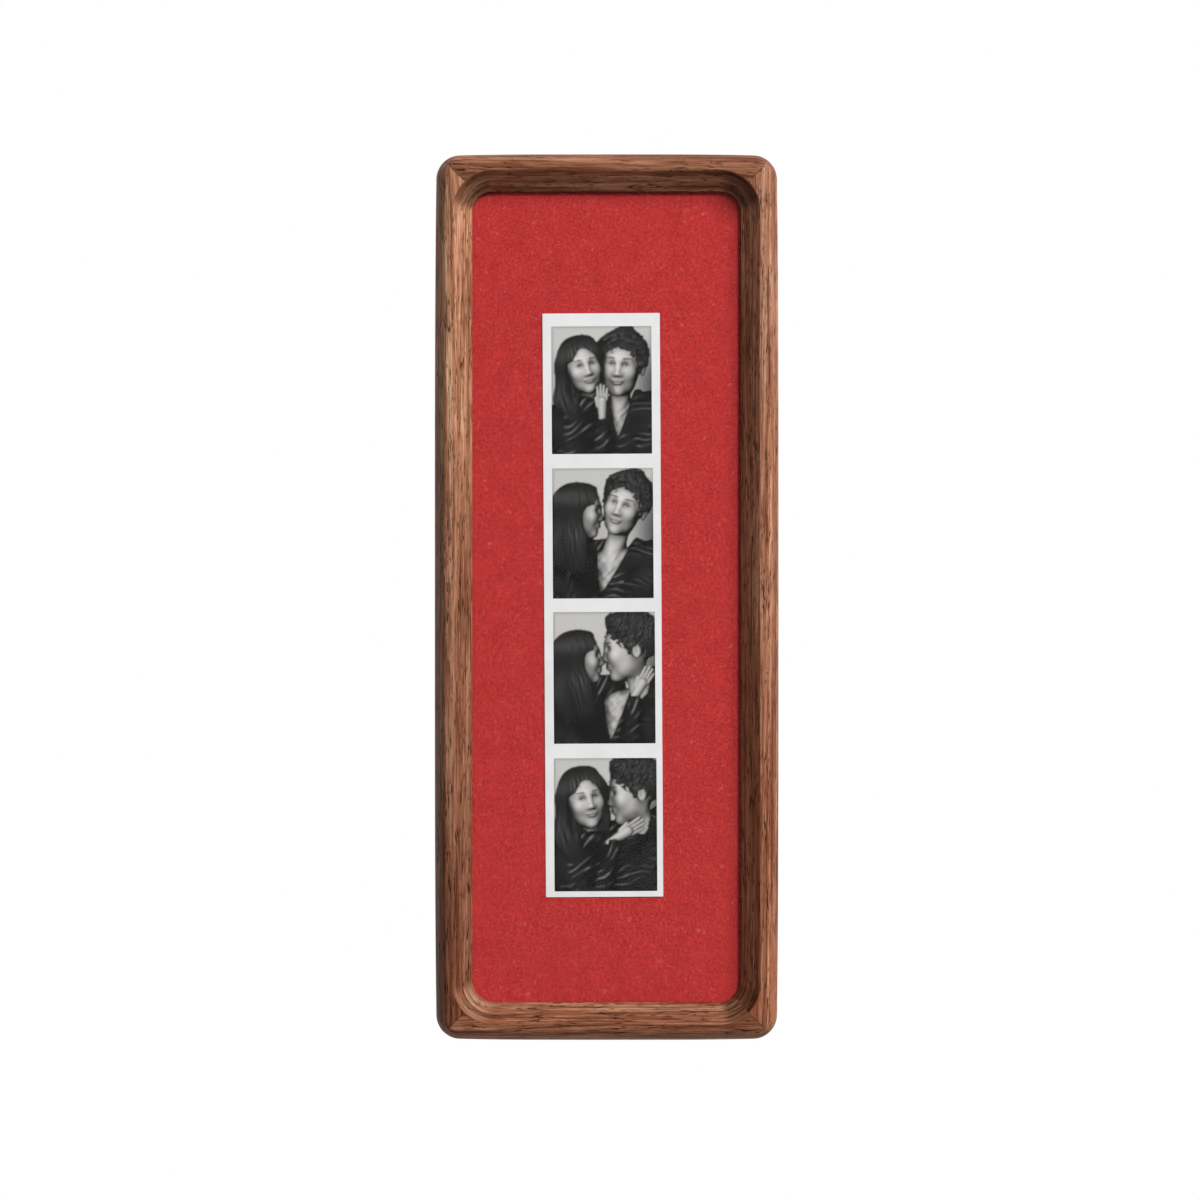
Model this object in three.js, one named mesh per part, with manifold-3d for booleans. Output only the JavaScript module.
// A tall wall frame in walnut that shows one booth photo strip on a red mount board.
// Millimetres. +X is to the viewer's right, +Z is up and +Y points from the front of the frame to the wall.
// The origin is the hanger's middle notch, where the frame hangs on its nail, in the plane of the wall.
import * as THREE from "three";
import { mergeVertices } from "three/addons/utils/BufferGeometryUtils.js";
import Module from "manifold-3d";

// Frame outline, seen from the front
const frameWidth = 120;
const frameHeight = 309.2;
const outerCornerRadius = 8;
const sideCrown = 0.65; // how far each side falls back from its middle to its corners
const crownPower = 4;

// Moulding, across one rail
const faceWidth = 3.2; // front face, between its two edges
const outerLean = 3.8; // outer bevel, seen from the front
const outerBevelDepth = 6.6; // from the face back to the widest line of the outer wall
const outerBow = 0.3; // the outer bevel bulges by this in its middle
const bevelWidth = 6.05; // splayed inner bevel, seen from the front
const bevelDepth = 6.05;
const sightCornerRadius = 7.8;
const lipThickness = 0.5; // lip that the glazing rests against
const rabbetWidth = 3.45;
const rabbetCornerRadius = 7;
const outerEdgeRadius = 2.2; // sanded edge between the face and the outer bevel
const innerEdgeRadius = 0.6; // crisper edge between the face and the inner bevel
const backEdgeRadius = 1;
const mitreGap = 0.2; // glue line

// Sheets in the rabbet, from the front
const glazingThickness = 0.6;
const stripThickness = 0.25;
const boardThickness = 1.5;
const backingThickness = 2.5;
const layerGap = 0.05; // air between two sheets that lie on each other
const backingRecess = 0.1; // backing board below the back of the rails
const sheetClearance = 0.6; // sheet edge to rabbet wall
const sheetCornerRadius = 6.5;

// Photo strip on the board
const stripWidth = 41;
const stripHeight = 204;
const stripShift = -1.35; // to the viewer's left of the middle
const stripDrop = 2.8; // below the middle
const stripTilt = 0.35; // degrees, anticlockwise from the front

// Turn buttons that hold the backing board
const buttonThickness = 0.9;
const buttonHeelRadius = 4;
const buttonTipRadius = 2.6;
const buttonReach = 13; // from the screw to the middle of the tip
const buttonLift = 0.6; // upturn of the tip, for a finger nail
const buttonLiftLength = 4.5;
const buttonInset = 5.2; // screw to the outer wall
const buttonSpacing = 98; // along the stile
const buttonsPerStile = 3;
const runningGap = 0.15; // under and over a button, and round its screw

// Screws of the turn buttons
const screwHeadRadius = 2.6;
const screwHeadHeight = 1.2;
const screwShankRadius = 1.1;
const screwLength = 9;
const screwPointLength = 2.2;
const crossLength = 2.6;
const crossWidth = 0.55;
const crossDepth = 0.6;

// Sawtooth hanger
const standoff = 2.5; // back of the rails to the wall
const hangerLength = 42;
const hangerHeight = 7.4;
const hangerThickness = 0.8;
const hangerInset = 2.1; // from the top of the frame
const hangerTabLength = 7;
const hangerRampLength = 2.6;
const toothPitch = 2.2;
const toothDepth = 1.1;
const nailHeadRadius = 1.6;
const nailHeadHeight = 0.6;
const nailShankRadius = 0.7;
const nailLength = 8;
const nailPointLength = 1.5;

// Wedge nails across the mitres
const wedgeLegLength = 4.6;
const wedgeThickness = 0.6;
const wedgeAngle = 130; // degrees between the legs
const wedgeDepth = 6;
const wedgeInset = 7.3; // from either outer side of the corner
const pocketGap = 0.15; // fastener to the wood round it

// Wall bumpers
const bumperRadius = 4;
const bumperEdgeRadius = 0.5;
const bumperInset = 7.3;

// Fineness
const cornerSteps = 12;
const sideSteps = 8;
const bevelSteps = 4;
const filletSteps = 3;
const roundSteps = 32;
const smallRoundSteps = 24;
const cutPast = 1; // cutters reach this far past what they cut

// Sizes that follow
const railWidth = outerLean + faceWidth + bevelWidth;
const sightWidth = frameWidth - 2 * railWidth;
const sightHeight = frameHeight - 2 * railWidth;
const rabbetDepth =
  glazingThickness + stripThickness + boardThickness + backingThickness + 4 * layerGap + backingRecess;
const backY = -standoff;
const lipY = backY - rabbetDepth;
const faceY = lipY - lipThickness - bevelDepth;
const glazingY = lipY + layerGap;
const stripY = glazingY + glazingThickness + layerGap;
const boardY = stripY + stripThickness + layerGap;
const backingY = boardY + boardThickness + layerGap;
const hangerTop = frameHeight / 2 - hangerInset;
const notchHeight = hangerTop - hangerHeight + toothDepth;
const radians = THREE.MathUtils.degToRad;

const wasm = await Module();
wasm.setup();

const walnut = new THREE.MeshStandardMaterial({ color: 0x87593f, roughness: 0.5, metalness: 0 });
const clearAcrylic = new THREE.MeshStandardMaterial({
  color: 0xf4f7f7,
  roughness: 0.05,
  metalness: 0,
  transparent: true,
  opacity: 0.15,
});
const photoPaper = new THREE.MeshStandardMaterial({ color: 0xe8e8e8, roughness: 0.4, metalness: 0 });
const redBoard = new THREE.MeshStandardMaterial({ color: 0xb83838, roughness: 0.9, metalness: 0 });
const fibreboard = new THREE.MeshStandardMaterial({ color: 0x8a6a4c, roughness: 0.85, metalness: 0 });
const nickelSteel = new THREE.MeshStandardMaterial({ color: 0xb9b5ac, roughness: 0.35, metalness: 1 });
const plainSteel = new THREE.MeshStandardMaterial({ color: 0x8d8f92, roughness: 0.45, metalness: 1 });
const greyFelt = new THREE.MeshStandardMaterial({ color: 0x3a3633, roughness: 0.95, metalness: 0 });

const planPoint = ([across, up]) => new THREE.Vector2(across, up);

// A closed geometry as a solid that can be joined and cut
function solidOf(geometry) {
  const bare = geometry.index ? geometry.toNonIndexed() : geometry.clone();
  bare.deleteAttribute("normal");
  bare.deleteAttribute("uv");
  const merged = mergeVertices(bare, 1e-4);
  const corners = merged.index.array;
  const kept = [];
  for (let i = 0; i < corners.length; i += 3) {
    const [a, b, c] = corners.slice(i, i + 3);
    if (a !== b && b !== c && c !== a) kept.push(a, b, c);
  }
  return new wasm.Manifold(
    new wasm.Mesh({
      numProp: 3,
      vertProperties: merged.attributes.position.array,
      triVerts: new Uint32Array(kept),
    }),
  );
}

// A solid back to a geometry that a mesh can hold
function geometryOf(solid) {
  const { numProp, vertProperties, triVerts } = solid.getMesh();
  const positions = new Float32Array((vertProperties.length / numProp) * 3);
  for (let i = 0; i < positions.length / 3; i++) {
    positions.set(vertProperties.subarray(i * numProp, i * numProp + 3), i * 3);
  }
  const geometry = new THREE.BufferGeometry();
  geometry.setAttribute("position", new THREE.BufferAttribute(positions, 3));
  geometry.setIndex(new THREE.BufferAttribute(triVerts, 1));
  geometry.computeVertexNormals();
  return geometry;
}

function piece(name, solid, material) {
  const mesh = new THREE.Mesh(geometryOf(solid), material);
  mesh.name = name;
  return mesh;
}

// A rounded rectangle as a loop of [x, z], anticlockwise from the front, with as many points at any size.
// A crown draws each side in towards its corners.
function roundedLoop(width, height, radius, crown = 0) {
  const halfWidth = width / 2;
  const halfHeight = height / 2;
  const turns = [
    [1, -1, -90],
    [1, 1, 0],
    [-1, 1, 90],
    [-1, -1, 180],
  ];
  const arcs = turns.map(([signX, signZ, start]) =>
    Array.from({ length: cornerSteps + 1 }, (_, i) => {
      const angle = radians(start + (90 * i) / cornerSteps);
      return [
        signX * (halfWidth - radius) + radius * Math.cos(angle),
        signZ * (halfHeight - radius) + radius * Math.sin(angle),
      ];
    }),
  );
  const loop = [];
  arcs.forEach((arc, k) => {
    loop.push(...arc);
    const [x0, z0] = arc[cornerSteps];
    const [x1, z1] = arcs[(k + 1) % 4][0];
    for (let i = 1; i < sideSteps; i++) {
      const share = i / sideSteps;
      loop.push([x0 + (x1 - x0) * share, z0 + (z1 - z0) * share]);
    }
  });
  return loop.map(([x, z]) => [
    x * (1 - (crown / halfWidth) * Math.abs(z / halfHeight) ** crownPower),
    z * (1 - (crown / halfHeight) * Math.abs(x / halfWidth) ** crownPower),
  ]);
}

// A solid through a row of loops, each at its own depth, from the front to the back
function loft(rings) {
  const count = rings[0].loop.length;
  const positions = rings.flatMap(({ y, loop }) => loop.flatMap(([x, z]) => [x, y, z]));
  const faces = [];
  for (let r = 0; r + 1 < rings.length; r++) {
    for (let i = 0; i < count; i++) {
      const next = (i + 1) % count;
      const [a, b] = [r * count + i, r * count + next];
      const [d, c] = [a + count, b + count];
      faces.push(a, d, b, b, d, c);
    }
  }
  const last = (rings.length - 1) * count;
  const capOf = (loop) => THREE.ShapeUtils.triangulateShape(loop.map(planPoint), []);
  capOf(rings[0].loop).forEach(([a, b, c]) => faces.push(a, b, c));
  capOf(rings.at(-1).loop).forEach(([a, b, c]) => faces.push(last + a, last + c, last + b));
  const geometry = new THREE.BufferGeometry();
  geometry.setAttribute("position", new THREE.Float32BufferAttribute(positions, 3));
  geometry.setIndex(faces);
  return solidOf(geometry);
}

// A flat plate: an outline in [x, z] from the front, from depth y to depth y + thickness
function plate(shape, y, thickness) {
  const curveSegments = smallRoundSteps / 2;
  const geometry = new THREE.ExtrudeGeometry(shape, { depth: thickness, bevelEnabled: false, curveSegments });
  geometry.rotateX(Math.PI / 2); // extruded along -Y, with the outline's second axis on +Z
  return geometry.translate(0, y + thickness, 0);
}

// A side profile in [x, y], drawn from above, from height z to height z + height
function profileBar(points, z, height) {
  const shape = new THREE.Shape(points.map(planPoint));
  return new THREE.ExtrudeGeometry(shape, { depth: height, bevelEnabled: false }).translate(0, 0, z);
}

function turned(points, segments) {
  return new THREE.LatheGeometry(points.map(planPoint), segments);
}

function rod(radius, fromY, toY, x = 0, z = 0) {
  const geometry = new THREE.CylinderGeometry(radius, radius, toY - fromY, smallRoundSteps);
  return geometry.translate(x, (fromY + toY) / 2, z);
}

// The arc that rounds an edge whose face turns by the given angle: distance past the flat and depth below it
function roundedEdge(radius, angle) {
  return Array.from({ length: filletSteps + 1 }, (_, i) => {
    const turn = (angle * i) / filletSteps;
    return [radius * Math.sin(turn), radius * (1 - Math.cos(turn))];
  });
}

// Outside of the moulding: sanded front edge, bowed outer bevel, straight wall and rounded back edge
function outerBody() {
  const ring = (y, inset) => ({
    y,
    loop: roundedLoop(
      frameWidth - 2 * inset,
      frameHeight - 2 * inset,
      Math.max(outerCornerRadius - inset, outerEdgeRadius),
      sideCrown,
    ),
  });
  const bevelInset = (depth) => {
    const share = depth / outerBevelDepth;
    return (1 - share) * (outerLean - 4 * outerBow * share);
  };
  const edgeTurn = Math.atan2(outerBevelDepth, outerLean + 4 * outerBow);
  const edge = roundedEdge(outerEdgeRadius, edgeTurn);
  const flatInset = outerLean + outerEdgeRadius * Math.tan(edgeTurn / 2);
  const rings = edge.map(([past, depth]) => ring(faceY + depth, flatInset - past));
  const edgeDepth = edge.at(-1)[1];
  for (let i = 1; i <= bevelSteps; i++) {
    const depth = edgeDepth + ((outerBevelDepth - edgeDepth) * i) / bevelSteps;
    rings.push(ring(faceY + depth, bevelInset(depth)));
  }
  for (let i = 0; i <= filletSteps; i++) {
    const turn = (Math.PI / 2) * (i / filletSteps);
    rings.push(
      ring(backY - backEdgeRadius * (1 - Math.sin(turn)), backEdgeRadius * (1 - Math.cos(turn))),
    );
  }
  return loft(rings);
}

// What the router takes out of the middle: the splayed bevel, the sight opening and the rabbet behind it
function innerVoid() {
  const ring = (y, growth) => ({
    y,
    loop: roundedLoop(sightWidth + 2 * growth, sightHeight + 2 * growth, sightCornerRadius + growth),
  });
  const edgeTurn = Math.atan2(bevelDepth, bevelWidth);
  const flatGrowth = bevelWidth + innerEdgeRadius * Math.tan(edgeTurn / 2);
  const rings = [ring(faceY - cutPast, flatGrowth)];
  roundedEdge(innerEdgeRadius, edgeTurn).forEach(([past, depth]) => {
    rings.push(ring(faceY + depth, flatGrowth - past));
  });
  rings.push(ring(faceY + bevelDepth, 0), ring(lipY + cutPast, 0));
  return loft(rings).add(
    loft([
      { y: lipY, loop: sheetLoop(0, rabbetCornerRadius) },
      { y: backY + cutPast, loop: sheetLoop(0, rabbetCornerRadius) },
    ]),
  );
}

// The rabbet's outline, or that of a sheet lying in it with a clearance all round
function sheetLoop(clearance, radius) {
  const growth = 2 * (rabbetWidth - clearance);
  return roundedLoop(sightWidth + growth, sightHeight + growth, radius);
}

function sheet(y, thickness) {
  const loop = sheetLoop(sheetClearance, sheetCornerRadius);
  return loft([
    { y, loop },
    { y: y + thickness, loop },
  ]);
}

// Corners as [name, side sign, height sign]
const corners = [
  ["top_left", -1, 1],
  ["top_right", 1, 1],
  ["bottom_left", -1, -1],
  ["bottom_right", 1, -1],
];

const cornerPoint = (signX, signZ, inset) => [
  signX * (frameWidth / 2 - inset),
  signZ * (frameHeight / 2 - inset),
];

// The part of the ring between two mitres: an end or a long side, on the + or the - half
function mitreSector(isEnd, sign) {
  const [halfAcross, halfAlong] = [frameWidth / 2 + cutPast, frameHeight / 2 + cutPast];
  const spine = halfAlong - halfAcross;
  const shift = mitreGap / Math.SQRT2;
  const outline = isEnd
    ? [
        [-halfAcross, halfAlong + shift],
        [0, spine + shift],
        [halfAcross, halfAlong + shift],
      ]
    : [
        [halfAcross + shift, halfAlong],
        [shift, spine],
        [shift, -spine],
        [halfAcross + shift, -halfAlong],
      ];
  const sided = outline.map(([x, z]) => (isEnd ? [x, sign * z] : [sign * x, z]));
  return plate(new THREE.Shape(sided.map(planPoint)), faceY - cutPast, backY - faceY + 2 * cutPast);
}

// A wedge nail: two legs that meet on the mitre, driven in from the back. With a gap, it is its own pocket.
function wedgeNail(signX, signZ, gap) {
  const leg = new THREE.Shape();
  const half = radians(wedgeAngle / 2);
  const side = (along, across) =>
    new THREE.Vector2(
      along * Math.sin(half) - across * Math.cos(half),
      along * Math.cos(half) + across * Math.sin(half),
    );
  const reach = wedgeLegLength + gap;
  const thick = wedgeThickness / 2 + gap;
  const inner = thick / Math.sin(half);
  const right = [side(reach, -thick), side(reach, thick)];
  const left = right.map(({ x, y }) => new THREE.Vector2(-x, y)).reverse();
  leg.setFromPoints([new THREE.Vector2(0, -inner), ...right, new THREE.Vector2(0, inner), ...left]);
  const depth = wedgeDepth + gap;
  const past = gap > 0 ? cutPast : 0;
  const [x, z] = cornerPoint(signX, signZ, wedgeInset);
  const turn = Math.atan2(signX, signZ);
  return plate(leg, backY - depth, depth + past)
    .rotateY(turn + Math.PI)
    .translate(x, 0, z);
}

// A turned fastener with its seat at y 0: the head stands out to +Y and the shank runs in to -Y
function fastener({ headRadius, headHeight, shankRadius, length, pointLength }) {
  const dome = Array.from({ length: filletSteps + 2 }, (_, i) => {
    const turn = (Math.PI / 2) * (i / (filletSteps + 1));
    return [headRadius * Math.cos(turn), headHeight * Math.sin(turn)];
  });
  dome[dome.length - 1][0] = 0;
  return turned(
    [[0, -length], [shankRadius, pointLength - length], [shankRadius, 0], ...dome],
    smallRoundSteps,
  );
}

const screwSizes = {
  headRadius: screwHeadRadius,
  headHeight: screwHeadHeight,
  shankRadius: screwShankRadius,
  length: screwLength + buttonThickness + 2 * runningGap,
  pointLength: screwPointLength,
};
const nailSizes = {
  headRadius: nailHeadRadius,
  headHeight: nailHeadHeight,
  shankRadius: nailShankRadius,
  length: nailLength,
  pointLength: nailPointLength,
};

function buttonScrew() {
  const bars = [0, 90].map((angle) => {
    const bar = new THREE.BoxGeometry(crossLength, 2 * crossDepth, crossWidth);
    return solidOf(bar.rotateY(radians(angle)).translate(0, screwHeadHeight, 0));
  });
  return solidOf(fastener(screwSizes)).subtract(bars[0].add(bars[1]));
}

// A stamped turn button, its underside at y 0 and its screw on the Y axis, pointing along +X
function turnButton() {
  const outline = new THREE.Shape();
  const tangent = Math.acos((buttonHeelRadius - buttonTipRadius) / buttonReach);
  outline.absarc(0, 0, buttonHeelRadius, tangent, 2 * Math.PI - tangent);
  outline.absarc(buttonReach, 0, buttonTipRadius, -tangent, tangent);
  const tip = buttonReach + buttonTipRadius;
  const liftStart = tip - buttonLiftLength;
  const heel = -buttonHeelRadius - cutPast;
  const bend = [
    [heel, 0],
    [liftStart, 0],
    [tip, buttonLift],
    [tip, buttonLift + buttonThickness],
    [liftStart, buttonThickness],
    [heel, buttonThickness],
  ];
  return solidOf(profileBar(bend, heel, -2 * heel))
    .intersect(solidOf(plate(outline, -cutPast, buttonThickness + buttonLift + 2 * cutPast)))
    .subtract(solidOf(rod(screwShankRadius + runningGap, -cutPast, buttonThickness + cutPast)));
}

// The hanger: a strip bowed away from the rail, with round tabs at its ends and teeth along its lower edge
const hangerNailX = hangerLength / 2 - hangerTabLength / 2;
const hangerMiddle = hangerTop - hangerHeight / 2;

function sawtoothHanger() {
  const halfLength = hangerLength / 2;
  const rampStart = halfLength - hangerTabLength;
  const rampEnd = rampStart - hangerRampLength;
  const rise = standoff - hangerThickness;
  const bow = [
    [-halfLength, 0],
    [-rampStart, 0],
    [-rampEnd, rise],
    [rampEnd, rise],
    [rampStart, 0],
    [halfLength, 0],
  ];
  const outside = bow.map(([x, y]) => [x, y + hangerThickness]).reverse();
  const bottom = hangerTop - hangerHeight;
  const bar = profileBar([...bow, ...outside], bottom - cutPast, hangerHeight + 2 * cutPast);

  const notches = Math.floor(rampEnd / toothPitch - 0.5); // on either side of the middle one
  const endRadius = hangerHeight / 2;
  const front = new THREE.Shape();
  front.moveTo(-halfLength + endRadius, bottom);
  for (let i = -notches; i <= notches; i++) {
    front.lineTo((i - 0.5) * toothPitch, bottom);
    front.lineTo(i * toothPitch, bottom + toothDepth);
  }
  front.lineTo((notches + 0.5) * toothPitch, bottom);
  front.absarc(halfLength - endRadius, bottom + endRadius, endRadius, -Math.PI / 2, Math.PI / 2);
  front.absarc(-halfLength + endRadius, bottom + endRadius, endRadius, Math.PI / 2, 1.5 * Math.PI);
  const holes = [-1, 1].map((side) =>
    solidOf(rod(nailShankRadius + runningGap, backY - cutPast, cutPast, side * hangerNailX, hangerMiddle)),
  );
  return solidOf(bar.translate(0, backY, 0))
    .intersect(solidOf(plate(front, backY - cutPast, standoff + 2 * cutPast)))
    .subtract(holes[0].add(holes[1]));
}

function bumper() {
  const flat = bumperRadius - bumperEdgeRadius;
  const edge = Array.from({ length: filletSteps + 1 }, (_, i) => {
    const turn = (Math.PI / 2) * (i / filletSteps);
    return [flat + bumperEdgeRadius * Math.cos(turn), standoff - bumperEdgeRadius * (1 - Math.sin(turn))];
  });
  return turned([[0, 0], [bumperRadius, 0], ...edge, [0, standoff]], roundSteps);
}

// Where each turn button's screw goes in, as [name, x, z, turn about Y]
const buttonSeats = [-1, 1].flatMap((side) =>
  Array.from({ length: buttonsPerStile }, (_, i) => [
    `${side < 0 ? "left" : "right"}_${i + 1}`,
    side * (frameWidth / 2 - buttonInset),
    ((buttonsPerStile - 1) / 2 - i) * buttonSpacing,
    side < 0 ? 0 : Math.PI,
  ]),
);

// The moulding as one ring, bored and slotted for its fasteners
function mouldingRing() {
  const pockets = corners.map(([, signX, signZ]) => wedgeNail(signX, signZ, pocketGap));
  const holeEnd = backY + cutPast;
  for (const [, x, z] of buttonSeats) {
    pockets.push(rod(screwShankRadius + pocketGap, backY - screwLength - pocketGap, holeEnd, x, z));
  }
  for (const side of [-1, 1]) {
    const holeStart = backY - nailLength - pocketGap;
    pockets.push(rod(nailShankRadius + pocketGap, holeStart, holeEnd, side * hangerNailX, hangerMiddle));
  }
  const plain = outerBody().subtract(innerVoid());
  return pockets.reduce((cut, pocket) => cut.subtract(solidOf(pocket)), plain);
}

const frame = new THREE.Group();
frame.position.z = -notchHeight;

const ring = mouldingRing();
for (const [name, isEnd, sign] of [
  ["top_rail", true, 1],
  ["bottom_rail", true, -1],
  ["left_stile", false, -1],
  ["right_stile", false, 1],
]) {
  frame.add(piece(name, ring.intersect(solidOf(mitreSector(isEnd, sign))), walnut));
}
for (const [name, signX, signZ] of corners) {
  frame.add(piece(`wedge_nail_${name}`, solidOf(wedgeNail(signX, signZ, 0)), plainSteel));
}

frame.add(piece("glazing_sheet", sheet(glazingY, glazingThickness), clearAcrylic));
frame.add(piece("mount_board", sheet(boardY, boardThickness), redBoard));
frame.add(piece("backing_board", sheet(backingY, backingThickness), fibreboard));

const strip = new THREE.Mesh(new THREE.BoxGeometry(stripWidth, stripThickness, stripHeight), photoPaper);
strip.name = "photo_strip";
strip.position.set(stripShift, stripY + stripThickness / 2, -stripDrop);
strip.rotation.y = radians(-stripTilt);
frame.add(strip);

for (const [name, x, z, turn] of buttonSeats) {
  const seat = new THREE.Group();
  seat.position.set(x, backY, z);
  const button = piece(`turn_button_${name}`, turnButton(), nickelSteel);
  button.position.y = runningGap;
  button.rotation.y = turn;
  const screw = piece(`button_screw_${name}`, buttonScrew(), plainSteel);
  screw.position.y = buttonThickness + 2 * runningGap;
  seat.add(button, screw);
  frame.add(seat);
}

frame.add(piece("sawtooth_hanger", sawtoothHanger(), nickelSteel));
for (const [name, side] of [
  ["left", -1],
  ["right", 1],
]) {
  const nail = piece(`hanger_nail_${name}`, solidOf(fastener(nailSizes)), plainSteel);
  nail.position.set(side * hangerNailX, backY + hangerThickness + layerGap, hangerMiddle);
  const foot = piece(`wall_bumper_${name}`, solidOf(bumper()), greyFelt);
  const [x, z] = cornerPoint(side, -1, bumperInset);
  foot.position.set(x, backY, z);
  frame.add(nail, foot);
}

const root = new THREE.Group();
root.add(frame);

export default root;
